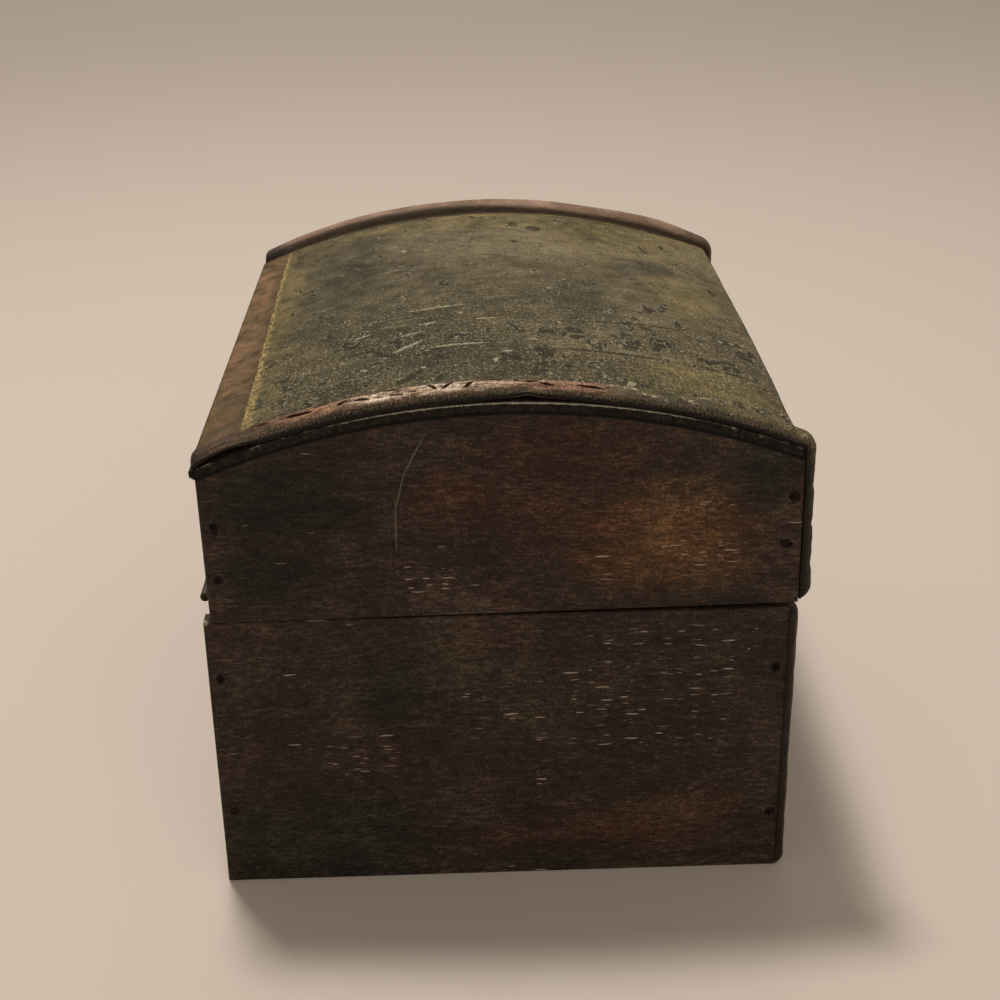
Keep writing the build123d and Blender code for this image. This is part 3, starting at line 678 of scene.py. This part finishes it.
def tooled_finish(name, olive_patches, grey_patches, pale_marks=(), dark_marks=(), border_end=None):
    f = Finish(name, roughness=0.6, specular=0.1)
    place = f.leather_place()
    across, along = f.axis(place, 0), f.axis(place, 1)
    height, dark, pale, grain, crumbs, nearness = tooled_height_and_marks(f, place, pale_marks, dark_marks)
    cloud = f.cloudy(place, 38, 4, 0.6, 0.5)
    blotch = f.cloudy(place, 190, 3, 0.6, 0.4)
    tone = f.blend(cloud, 0.5, blotch, 0.5)
    near_green = f.ramp(tone, (0.38, 56, 49, 31), (0.5, 78, 69, 47), (0.62, 98, 87, 61))
    far_green = f.ramp(tone, (0.38, 82, 73, 51), (0.5, 107, 95, 70), (0.62, 126, 113, 86))
    far = f.times(f.band(across, -0.025, 0.05), f.band(along, 0.02, 0.07, 0.25, 1))
    frontward = f.times(f.band(along, 0.06, 0.105), f.band(across, -0.07, -0.035), 0.5)
    f.base = f.mix(f.largest(far, frontward), near_green, far_green)
    wander = f.times(f.cloudy(place, 80, 4, 0.6), 0.8)
    olive = f.spots(place, olive_patches, wander, 0.4, 1.25)
    f.cover(f.ramp(tone, (0.38, 84, 74, 42), (0.6, 130, 114, 74)), olive, 0.75)
    grey = f.spots(place, grey_patches, wander, 0.5, 1.1)
    f.cover(f.ramp(tone, (0.38, 50, 46, 31), (0.6, 80, 73, 53)), grey, 0.85)
    f.cover((44, 38, 21), dark, 0.84)
    smooth = f.band(dark, 0, 1, 1, 0.25)
    flecks = f.band(f.blend(grain, 0.6, crumbs, 0.4), 0.545, 0.665)
    flecks = f.times(flecks, f.plus(f.times(nearness, 0.6), 0.12), smooth)
    f.cover(f.mix(0.6, f.base, (192, 185, 156)), flecks)
    # Pale rubbed wear, and the painted highlight round the hollows.
    f.cover((166, 154, 128), pale, 0.62)
    deepness = f.band(f.blend(grain, 0.7, crumbs, 0.3), 0.37, 0.63, 0.28, 1.7)
    deepness = f.mix(1, deepness, (1.02, 1, 0.93, 1), "MULTIPLY")
    f.base = f.mix(f.times(f.plus(f.times(nearness, 0.45), 0.55), smooth), f.base, deepness, "MULTIPLY")
    if border_end:
        # The brown border is about 10 mm wide at the near end and 8 mm at the far end
        wobble = f.plus(f.times(f.cloudy(place, 300, 4, 0.7), 0.0018), -0.0009)
        width = f.plus(f.band(across, -0.0815, 0.0815, 0.0103, 0.0082), wobble)
        past = f.minus(along, width)
        brown = f.fall(past, -0.0003, 0.0001)
        reach = f.minus(past, f.band(across, -0.079, 0.03, 0.0024, 0.0011))
        line = f.times(f.band(past, -0.0004, 0.0002), f.fall(reach, -0.0008, 0.0006))
        glow = f.times(f.fall(past, 0, 0.012), f.band(blotch, 0.36, 0.6))
        f.cover((116, 100, 58), glow, 0.6)
        far_line = f.band(f.plus(across, wobble), border_end - 0.003, border_end - 0.0004)
        hide = f.cloudy(place, 150, 4, 0.65, 0.3)
        green = f.base
        f.base = f.ramp(hide, (0.34, 62, 46, 28), (0.45, 94, 73, 47), (0.56, 116, 88, 58), (0.68, 140, 98, 70))
        f.cover((66, 50, 30), f.band(past, -0.0035, 0, 0, 1), 0.45)
        f.cover((72, 60, 38), f.band(across, 0, -0.07), 0.5)
        f.cover((54, 40, 28), f.band(crumbs, 0.58, 0.7), 0.5)
        tan = f.mix(1, f.base, f.band(grain, 0.36, 0.63, 0.66, 1.3), "MULTIPLY")
        f.base = f.mix(brown, green, tan)
        gilt = f.blend(grain, 0.5, crumbs, 0.5)
        gold = f.ramp(gilt, (0.4, 84, 66, 34), (0.5, 146, 120, 68), (0.6, 214, 190, 132))
        line = f.times(line, f.band(f.blend(crumbs, 0.5, blotch, 0.5), 0.38, 0.52, 0.35, 1))
        f.cover(gold, line, 0.85)
        f.cover(f.mix(0.5, gold, (108, 92, 48)), far_line, f.band(cloud, 0.47, 0.6, 0, 0.6))
        rag = f.nudge(across, f.plus(blotch, crumbs, -1), -0.006)
        near_brown = f.times(f.fall(rag, -0.0728, -0.0716), f.window(along, 0.014, 0.03, 0.07, 0.1))
        f.cover(f.ramp(grain, (0.36, 70, 50, 34), (0.62, 158, 124, 94)), near_brown)
        relief = f.plus(f.blend(hide, 0.6, crumbs, 0.35, grain, 0.15), -0.3)
        height = f.blend(height, f.minus(1, brown), brown, relief, line, 0.3)
    return f.wear(f.band(grain, 0.35, 0.65, 0.46, 0.68), height)


FIELD_NEAR = -74.9 * MM
FIELD_FAR = 73.4 * MM
lid_leather = tooled_finish(
    "tooled_green_leather_lid",
    olive_patches=marks(
        (56, 104, 32, 38), (64, 70, 12, 44), (-60, 116, 24, 22), (68, 40, 8, 40), (12, 118, 32, 16),
        (26, 13, 50, 5),
    ),
    grey_patches=marks(
        (-54, 62, 22, 22), (-46, 44, 30, 20), (22, 30, 34, 12), (-12, 88, 26, 14), (58, 34, 12, 12),
        (30, 112, 12, 12),
    ),
    pale_marks=marks(
        (-29.8, 36, 0.9, 3.4, -20), (-42.5, 47.2, 1.1, 6.6, -42), (-34, 47.6, 1, 3.6, -22),
        (-27.2, 51.6, 0.9, 3.2, -20), (-15.2, 53, 0.9, 10, -6), (-45, 59, 1, 9.5, 0),
        (-26.6, 65.2, 0.8, 3, 0), (-58.4, 51, 1, 0.9), (-54.2, 37.4, 1.2, 1), (-37, 60, 0.8, 1),
        (-42.5, 76, 0.9, 1.6), (-51, 69.5, 1.2, 2), (-57, 67, 2, 0.8), (40.5, 44.2, 1.8, 1.1),
        (-23.5, 122.9, 1.3, 1.2), (-22.5, 126, 1.2, 1.1), (-21.5, 129, 1.1, 1),
        (-69, 96, 2.2, 1.4, 30), (-71, 112, 1.4, 2.4, -20),
    ),
    dark_marks=marks(
        (-41.5, 37.5, 0.8, 9, -6), (-49.2, 94, 0.9, 18, 1), (-24.5, 102, 0.9, 20, -12),
        (-48, 121.5, 0.9, 12, -4), (-35, 86, 2.6, 3.6, 30), (-36, 96.5, 2.4, 3.4, -20),
        (-23, 125.5, 2.6, 7, -12), (-42.5, 116, 1.6, 2.8, -30), (-27, 103.6, 1.6, 2.4),
        (-52, 55, 1.4, 3.8, 50), (-47, 54, 1.6, 2.4), (-56, 72.5, 2.4, 4.6, 20),
        (-60, 78, 2, 4, -30), (57, 80.5, 4, 3.4), (62, 75, 3, 2), (58, 118, 3, 1.2),
    ),
    border_end=FIELD_FAR,
)

# %% [markdown]
# ## The lid's leather field
# A row of vertices along the back edge is spun over the arc and round the shoulder, then
# pulled down to the hem. That keeps even rows, so slight swellings can be pushed into it
# afterwards, as hands and damp push them into real leather. The sheet gets its thickness last.

# %% Sweep the lid's field
FIELD_THICKNESS = 1.2 * MM
FIELD_SHEET = 0.85 * MM
FIELD_CUTS = 139
FIELD_STEP = 0.8 * MM

shape = bmesh.new()
y, z = back_edge_at(FIELD_THICKNESS)
row = row_of_vertices(shape, [(x, y, z) for x in (FIELD_NEAR, FIELD_FAR)], FIELD_CUTS)
sweep_over_lid(shape, row, FIELD_STEP)
bmesh.ops.recalc_face_normals(shape, faces=shape.faces)
place_of = {}
for vert in shape.verts:
    along, above, out = on_lid(vert.co)
    place_of[vert] = (vert.co.x, along)
    vert.co += out * swell_at(vert.co.x, along) * MM
put_leather_map(shape, place_of)
bmesh.ops.solidify(shape, geom=shape.faces[:], thickness=FIELD_SHEET)
stand_ajar(shape)
finish_piece("lid_tooled_field", shape, "chest_lid", lid_leather, ["lid_skin"])

# %% [markdown]
# ## Thick leather edging
# At both ends a strip of thick leather is wrapped over something like a cord, so it stands
# proud in a round ridge and rolls over the ends of the boards. The ridge has taken all the
# knocks: its crest is rubbed to bare copper-brown and pale hide, cracked into small plates,
# while its outer side stays dark and fluffy. The finish reads how far round the ridge a place
# is, from the outer lip inward, and how far along the strip.

# %% The edging finish


def edging_ground(name, shift):
    """Brown leather drawn along the strip, with what every strip shares."""
    f = Finish(name, roughness=0.6, specular=0.18)
    place = f.leather_place()
    moved = f.stretched(place, (1, 1, 1), shift=(shift, shift * 2, 0))
    f.girth, f.along = f.axis(place, 0), f.axis(place, 1)
    f.grain = f.streaky(moved, (1500, 2000, 1), 3, 0.88)
    f.crumbs = f.cloudy(moved, 1000, 3, 0.65)
    f.mottle = f.cloudy(moved, 170, 4, 0.65, 0.5)
    f.drawn = f.streaky(moved, (950, 190, 1), 3, 0.65, 0.8)
    f.moved = moved
    tone = f.blend(f.mottle, 0.5, f.drawn, 0.5)
    f.base = f.ramp(tone, (0.38, 54, 41, 28), (0.48, 82, 63, 44), (0.57, 102, 79, 57), (0.67, 124, 94, 70))
    return f


def worked(f, mottle, grain, crumbs, drawn, dent=0.0, smoothest=0.46):
    """The last step of every strip: its relief, from its four noises, and its polish."""
    height = f.plus(f.blend(f.mottle, mottle, f.grain, grain, f.crumbs, crumbs, f.drawn, drawn), dent)
    return f.wear(f.band(f.grain, 0.35, 0.65, smoothest, 0.7), height)


def grained(f, low=0.5, high=1.5):
    f.base = f.mix(1, f.base, f.band(f.grain, 0.36, 0.64, low, high), "MULTIPLY")


CRACK_WIDTH = 0.66
# Each crack's place round the ridge and along it, its half length, and its turn in degrees
DRAWN_CRACKS = (
    (5.2, 16.2, 3.4, 6), (4.4, 25.5, 4, 4), (5.8, 29.7, 2.8, -6), (4.6, 34.6, 2, -30), (4.2, 38.8, 2.6, 8),
    (5.8, 44.9, 2.8, 6), (6.6, 49.3, 3.6, 2), (4.7, 53.4, 2.4, 55), (4.6, 56.6, 2.8, -48),
    (4.2, 60.8, 3, -52), (6, 66.2, 5.6, 3), (7.6, 66.6, 6.4, 0), (5.9, 70.6, 2, 62), (5.4, 73.7, 2.8, 4),
    (5.1, 73.9, 2, -4), (3.9, 77, 2.6, 20), (6.9, 79.4, 2.4, -50), (6.9, 85, 4.4, 3), (3.9, 85.7, 4, 3),
    (6.4, 41, 3, -4), (3.6, 46, 2.4, 10), (6.9, 57, 3.4, 2),
)


def near_edging_finish():
    """Rubbed copper and pale over its crest, cracked, green again towards the front, with painted shade laid
    near black at the lip.
    """
    f = edging_ground("brown_leather_near_edging", 0.0)
    girth, along = f.girth, f.along
    patchy = f.streaky(f.moved, (430, 140, 1), 4, 0.68, 0.4, shift=(2, 5, 0))
    crest = f.times(f.band(f.nudge(girth, patchy, 0.0016), 0.003, 0.004), f.fall(girth, 0.0066, 0.008))
    copper_stretch = f.window(along, 0.016, 0.026, 0.082, 0.094)
    pale_stretch = f.times(f.band(along, 0.03, 0.043), f.band(along, 0.062, 0.076, 1, 0.1))
    copper = f.times(crest, copper_stretch, f.band(patchy, 0.36, 0.5, 0.25, 1))
    f.cover(f.ramp(f.drawn, (0.38, 90, 59, 39), (0.5, 136, 96, 69), (0.62, 170, 128, 96)), copper)
    pale = f.times(crest, pale_stretch, f.band(patchy, 0.4, 0.54, 0.22, 1))
    tone = f.blend(f.drawn, 0.6, f.crumbs, 0.4)
    f.cover(f.ramp(tone, (0.4, 150, 118, 88), (0.5, 204, 178, 148), (0.6, 240, 223, 197)), pale)
    pinkish = f.times(f.patch(f.moved, *spot(4.4, 84, 2.6, 9)), f.band(f.crumbs, 0.42, 0.55))
    f.cover((158, 116, 92), pinkish)
    crack_field = f.streaky(f.moved, (640, 80, 1), 3, 0.6, 1, shift=(6, 1, 0))
    crack = f.fall(f.calc("ABSOLUTE", f.plus(crack_field, -0.5)), 0.01, 0.034)
    crack = f.times(crack, f.band(f.cloudy(f.moved, 120, 2), 0.44, 0.54))
    cracks = [spot(across, far, CRACK_WIDTH, long, turn) for across, far, long, turn in DRAWN_CRACKS]
    drawn = f.band(f.nudge(f.patches(f.moved, cracks), f.crumbs, 0.6), 0.58, 0.72)
    crack = f.largest(f.times(crack, 0.8), drawn)
    crack = f.times(crack, f.window(girth, 0.003, 0.0038, 0.007, 0.0078))
    crack = f.times(crack, f.window(along, 0.012, 0.02, 0.088, 0.1))
    green_from = f.band(along, 0.08, 0.102, 0.0078, 0.0029)
    reach = f.plus(girth, f.times(patchy, 0.0056), -0.0028, f.times(green_from, -1))
    green = f.band(reach, -0.0003, 0.0004)
    tone = f.blend(f.grain, 0.4, f.mottle, 0.6)
    f.cover(f.ramp(tone, (0.4, 58, 50, 31), (0.5, 84, 74, 47), (0.6, 108, 96, 63)), green)
    chunk = f.streaky(f.moved, (520, 330, 1), 3, 0.7, 0.6, shift=(3, 9, 0))
    torn = f.times(f.window(reach, -0.002, -0.0006, 0.001, 0.003), f.band(chunk, 0.575, 0.62))
    torn = f.times(torn, f.window(along, 0.08, 0.092, 0.128, 0.136))
    f.cover(f.ramp(f.mottle, (0.42, 148, 112, 88), (0.56, 176, 162, 136)), torn, 0.85)
    towards_front = f.band(along, 0.08, 0.1)
    f.cover(f.ramp(f.mottle, (0.4, 40, 32, 21), (0.6, 78, 65, 45)), towards_front, f.minus(1, green), 0.75)
    fluff = f.ramp(f.grain, (0.36, 30, 24, 17), (0.5, 61, 52, 39), (0.64, 106, 93, 73))
    side = f.fall(f.nudge(girth, f.mottle, 0.0016), 0.0018, 0.0044)
    f.cover(fluff, side, 0.9)
    down = f.times(f.band(along, 0.134, 0.139), f.band(girth, 0, 0.0034, 0.6, 0.8))
    f.cover((26, 22, 16), down)
    grained(f)
    # Painted shade: the bottom of the outer side, under the lifted lip, is laid near black, less so down the
    # front.
    lip_shade = f.band(along, 0.132, 0.137, 0.9, 0.5)
    f.cover((12, 8, 6), f.fall(girth, 0.0006, 0.0017), lip_shade)
    under = f.calc("GREATER_THAN", girth, 0.0098)
    f.cover((34, 19, 13), under)
    f.cover((40, 27, 18), f.fall(along, 0, 0.009), 0.6)
    f.cover((26, 12, 5), crack, 0.97)
    f.tree.links.new(f.band(crack, 0, 0.6, 0.16, 0), f.shader.inputs["Specular IOR Level"])
    return worked(f, 0.6, 0.3, 0.35, 0.4, dent=f.times(crack, -0.7))


def far_edging_finish():
    """The far strip is smooth and pale, with a dark line at its foot, painted shade with some dirt, and a
    yellow one past it.
    """
    f = edging_ground("brown_leather_far_edging", 3.0)
    soft = f.cloudy(f.moved, 75, 3, 0.6)
    f.cover(f.ramp(soft, (0.38, 122, 96, 74), (0.5, 152, 122, 98), (0.62, 174, 142, 120)), 0.7)
    outer = f.fall(f.nudge(f.girth, f.mottle, 0.0016), 0.002, 0.0052)
    f.cover(f.ramp(f.drawn, (0.4, 40, 31, 23), (0.6, 92, 72, 54)), outer, 0.85)
    front_end = f.band(f.nudge(f.along, soft, 0.02), 0.126, 0.144)
    f.cover(f.ramp(f.mottle, (0.38, 40, 31, 22), (0.5, 66, 51, 36), (0.62, 92, 71, 52)), front_end, 0.85)
    grained(f, 0.75, 1.25)
    # Painted shade with some dirt: a dark line along the foot of the ridge, where it meets the field.
    foot_from = f.band(f.along, 0.05, 0.085, 0.0092, 0.0104)
    foot_shade_and_dirt = f.band(f.minus(f.nudge(f.girth, soft, 0.002), foot_from), -0.0006, 0.0012)
    f.cover((44, 32, 12), foot_shade_and_dirt, 0.92)
    back_end = f.fall(f.along, 0.004, 0.011)
    f.cover((24, 17, 11), back_end, 0.8)
    foot = f.band(f.nudge(f.girth, soft, 0.0006), 0.0119, 0.0123)
    f.cover(f.mix(f.band(soft, 0.4, 0.6), (86, 74, 42), (132, 112, 60)), foot)
    return worked(f, 0.4, 0.14, 0.2, 0.2, smoothest=0.5)


def front_edging_finish():
    f = edging_ground("brown_leather_front_edging", 8.0)
    f.cover((44, 34, 24), 0.45)
    grained(f)
    side = f.fall(f.nudge(f.girth, f.mottle, 0.001), 0.0016, 0.0032)
    f.cover((24, 18, 13), side, 0.8)
    return worked(f, 0.6, 0.25, 0.4, 0.3)


near_edging_leather = near_edging_finish()
far_edging_leather = far_edging_finish()
front_edging_leather = front_edging_finish()

# %% [markdown]
# ## Shaping the lid's edging
# The ridge's section is drawn once, as a closed loop of a few points, and swept over the lid.
# Then the strip is worked like the real one: its crest is made uneven, its outer lip is lifted
# where the leather has shrunk away from the board, and both of its ends are rounded over.

# %% Sweep and work the lid's edging
NEAR_SECTION = [
    (-0.4, 0.02), (-0.42, 0.5), (-0.4, 1.05), (-0.28, 1.58), (-0.05, 2.08), (0.32, 2.54), (0.85, 2.92),
    (1.5, 3.2), (2.25, 3.35), (3.05, 3.38), (3.8, 3.26), (4.45, 2.96), (5.00, 2.54), (5.5, 2.06),
    (5.95, 1.62), (6.3, 1.3), (6.6, 1.08), (6.6, 0.02), (4.5, 0.02), (2.5, 0.02), (0.8, 0.02),
]
FAR_SECTION = [
    (-0.4, 0.02), (-0.42, 0.65), (-0.38, 1.35), (-0.22, 2.05), (0.12, 2.7), (0.65, 3.25), (1.4, 3.68),
    (2.3, 3.96), (3.25, 4.05), (4.2, 3.95), (5.05, 3.65), (5.75, 3.2), (6.25, 2.65), (6.55, 2.05),
    (6.7, 1.5), (6.95, 1.1), (7.4, 1.04), (8.1, 1.08), (8.1, 0.02), (5.5, 0.02), (3.00, 0.02), (0.8, 0.02),
]
FRONT_SECTION = [
    (-0.4, 0.02), (-0.42, 0.4), (-0.38, 0.85), (-0.22, 1.28), (0.1, 1.68), (0.6, 2.02), (1.25, 2.24),
    (2.05, 2.35), (2.95, 2.36), (3.8, 2.24), (4.5, 2.02), (5.15, 1.72), (5.75, 1.4), (6.25, 1.18),
    (6.6, 1.06), (6.6, 0.02), (4.5, 0.02), (2.5, 0.02), (0.8, 0.02),
]
END_PLANE = 81.5 * MM
LID_EDGING_STEP = 0.6 * MM


def peak(value, centre, width):
    """A rise with a sharp top, such as a crease."""
    return math.exp(-abs(value - centre) / width)


def quarter_round(distance, radius):
    t = min(1.0, max(0.0, distance / radius))
    return math.sqrt(1 - (1 - t) ** 2)


def swept_strip(side, section, start_at, sweep, *settings):
    """Sweep a section from where its heights start. Also give each point's distance round it from its lip."""
    shape = bmesh.new()
    points = [(side * (END_PLANE - inward * MM), *start_at(above * MM)) for inward, above in section]
    ring = [shape.verts.new(point) for point in points]
    loop = [shape.edges.new((ring[i], ring[(i + 1) % len(ring)])) for i in range(len(ring))]
    last = sweep(shape, ring + loop, *settings)
    bmesh.ops.edgeloop_fill(shape, edges=loop)
    bmesh.ops.edgeloop_fill(shape, edges=edges_in(last))
    bmesh.ops.recalc_face_normals(shape, faces=shape.faces)
    steps = map(math.dist, section, section[1:])
    return shape, dict(zip(section, itertools.accumulate(steps, initial=0.0)))


def near_lip_lift(along):
    a = along / MM
    waver = 0.14 * noise.noise(Vector((a * 0.22, 0.5, 1.0)))
    return 0.32 + waver + 1.9 * peak(a, 73, 6) + 1.7 * hump(a, 8.5, 9)


def near_crest_lift(along):
    """Higher over the middle, lower at both ends, with three creases down the front."""
    a = along / MM
    down = clamp((a - 124) / 12) * (1 - 0.75 * clamp((a - 136) / 32))
    creases = sum(peak(a, place, 0.9) for place in (142.7, 151.9, 161.4))
    return 0.62 * hump(a, 60, 46) - 0.4 * hump(a, 0, 16) - 0.75 * down - 0.4 * creases


def far_lip_lift(along):
    return 0.2 + 0.15 * noise.noise(Vector((along * 200, 4.5, 2.0)))


FAR_CREST = [
    (-12, -1.6), (-1, -1), (15, -0.35), (33, 0.05), (50, 0.08), (62, 0.1), (74, 0.1), (86, 0),
    (97, -0.3), (108, -0.05), (118, 0.1), (128, -0.5), (138, -0.9), (150, -0.6), (170, -0.3), (180, -0.2),
]


def far_crest_lift(along):
    """The far crest is low at its back end, highest over the middle, and worn down towards the front."""
    a = along / MM
    first = max(k for k in range(1, len(FAR_CREST) - 2) if k == 1 or FAR_CREST[k][0] <= a)
    (x0, y0), (x1, y1), (x2, y2), (x3, y3) = FAR_CREST[first - 1:first + 3]
    t = (a - x1) / (x2 - x1)
    slope_in, slope_out = (y2 - y0) / (x2 - x0) * (x2 - x1), (y3 - y1) / (x3 - x1) * (x2 - x1)
    blend = t * t * (3 - 2 * t)
    return y1 + (y2 - y1) * blend + slope_in * t * (1 - t) ** 2 - slope_out * t * t * (1 - t)


def lid_edging(name, side, section, lip_lift, crest_lift, roughness, finish, replaced):
    shape, girth_of = swept_strip(side, section, back_edge_at, sweep_over_lid, LID_EDGING_STEP)
    top = max(above for inward, above in section)
    foot = max(inward for inward, above in section)
    place_of = {}
    for vert in shape.verts:
        along, above, out = on_lid(vert.co)
        inward = (END_PLANE - side * vert.co.x) / MM
        inward, above = min(section, key=lambda p: math.dist(p, (inward, above / MM)))
        place_of[vert] = (girth_of[inward, above] * MM, along)
        a = along / MM
        rough = roughness * noise.fractal(Vector((a * 0.13, inward * 0.35, side)), 1.0, 2.0, 3)
        rough += roughness * 0.6 * noise.noise(Vector((a * 0.5, inward * 0.9, side * 3)))
        ridge = min(1.0, above / (0.75 * top))
        lip = max(0.0, 1 - above / (0.7 * top)) * clamp((1.6 - inward) / 1.6)
        joint = clamp((inward - foot + 2.1) / 2.1)
        rise = (rough + crest_lift(along)) * ridge * (1 - joint) + lip_lift(along) * lip
        rise += swell_at(vert.co.x, along) * joint if above > 0.5 else 0.0
        ends = quarter_round(a + 0.15, 2.4) * quarter_round(LEATHER_LENGTH / MM - a + 0.1, 2.2)
        vert.co += out * (rise + (above + rise) * (ends - 1)) * MM
        pull = (1 - quarter_round(a + 0.3, 2.0)) * 0.6 * max(0.0, 1 - inward / 3)
        vert.co.x -= side * (pull + 0.1 * ridge * abs(noise.noise(Vector((a * 0.3, 7.0, side))))) * MM
    put_leather_map(shape, place_of)
    stand_ajar(shape)
    finish_piece(name, shape, "chest_lid", finish, replaced)


lid_edging(
    "lid_near_edging", -1, NEAR_SECTION, near_lip_lift, near_crest_lift, 0.22,
    near_edging_leather, ["lid_edging_left"],
)
lid_edging(
    "lid_far_edging", 1, FAR_SECTION, far_lip_lift, far_crest_lift, 0.07,
    far_edging_leather, ["lid_edging_right"],
)

# %% [markdown]
# ## Leather on the body's front
# The front has the same tooled leather between two edging strips. It is flat, so a line of
# vertices is simply pulled down in even steps, and the edging's section likewise.

# %% Tooled leather for the front
front_leather = tooled_finish(
    "tooled_green_leather_front",
    olive_patches=marks((40, 50, 50, 30), (-50, 20, 40, 30)),
    grey_patches=marks((-20, 45, 40, 20)),
)

# %% Make the front's pieces
FRONT_FIELD_HALF = 74.9 * MM
BODY_FRONT = -65 * MM
BODY_TOP = 69 * MM
FOOT = 0.6 * MM
INSET = 0.1 * MM
FRONT_HEIGHT = BODY_TOP - FOOT - 2 * INSET
FRONT_SHEET = 0.6 * MM
FRONT_CUTS = 124
FRONT_STEP = 1.0 * MM
FRONT_EDGING_STEP = 0.7 * MM


def front_edge_at(above):
    """Where the front's leather starts at the top, at a height in front of the board."""
    return BODY_FRONT - above, BODY_TOP - INSET


def front_swell(x, z):
    return 0.18 * noise.fractal(Vector((x * 60, z * 60, 9.0)), 1.0, 2.0, 3) - 0.14


shape = bmesh.new()
y, z = front_edge_at(FIELD_THICKNESS)
row = row_of_vertices(shape, [(x, y, z) for x in (-FRONT_FIELD_HALF, FRONT_FIELD_HALF)], FRONT_CUTS)
pull_down(shape, row, FRONT_HEIGHT, FRONT_STEP)
bmesh.ops.recalc_face_normals(shape, faces=shape.faces)
if sum(face.normal.y for face in shape.faces) > 0:
    bmesh.ops.reverse_faces(shape, faces=shape.faces)
place_of = {}
for vert in shape.verts:
    place_of[vert] = (vert.co.x, BODY_TOP - vert.co.z)
    edge_round = 1 - quarter_round(min(BODY_TOP - vert.co.z, vert.co.z - FOOT) / MM, 1.1)
    vert.co.y -= (front_swell(vert.co.x, vert.co.z) - 0.5 * edge_round) * MM
put_leather_map(shape, place_of)
bmesh.ops.solidify(shape, geom=shape.faces[:], thickness=FRONT_SHEET)
finish_piece("body_tooled_field", shape, "chest_body", front_leather, ["body_front_skin"])


def front_edging(name, side, replaced):
    settings = (FRONT_HEIGHT, FRONT_EDGING_STEP)
    shape, girth_of = swept_strip(side, FRONT_SECTION, front_edge_at, pull_down, *settings)
    place_of = {}
    for vert in shape.verts:
        here = ((END_PLANE - side * vert.co.x) / MM, (BODY_FRONT - vert.co.y) / MM)
        inward, above = min(FRONT_SECTION, key=lambda p: math.dist(p, here))
        z = vert.co.z / MM
        place_of[vert] = (girth_of[inward, above] * MM, BODY_TOP - vert.co.z)
        ridge = min(1.0, above / 1.8)
        joint = clamp((inward - 4.5) / 2.1)
        rough = 0.2 * noise.fractal(Vector((z * 0.16, inward * 0.4, side * 5)), 1.0, 2.0, 3)
        rise = (rough - 0.12) * ridge * (1 - joint)
        rise += front_swell(vert.co.x, vert.co.z) * joint if above > 0.5 else 0.0
        ends = quarter_round(min(69 - z, z - 0.6) + 0.2, 1.8)
        vert.co.y -= (rise + (above + rise) * (ends - 1)) * MM
    put_leather_map(shape, place_of)
    finish_piece(name, shape, "chest_body", front_edging_leather, replaced)


front_edging("body_near_edging", -1, ["body_edging_left"])
front_edging("body_far_edging", 1, ["body_edging_right"])
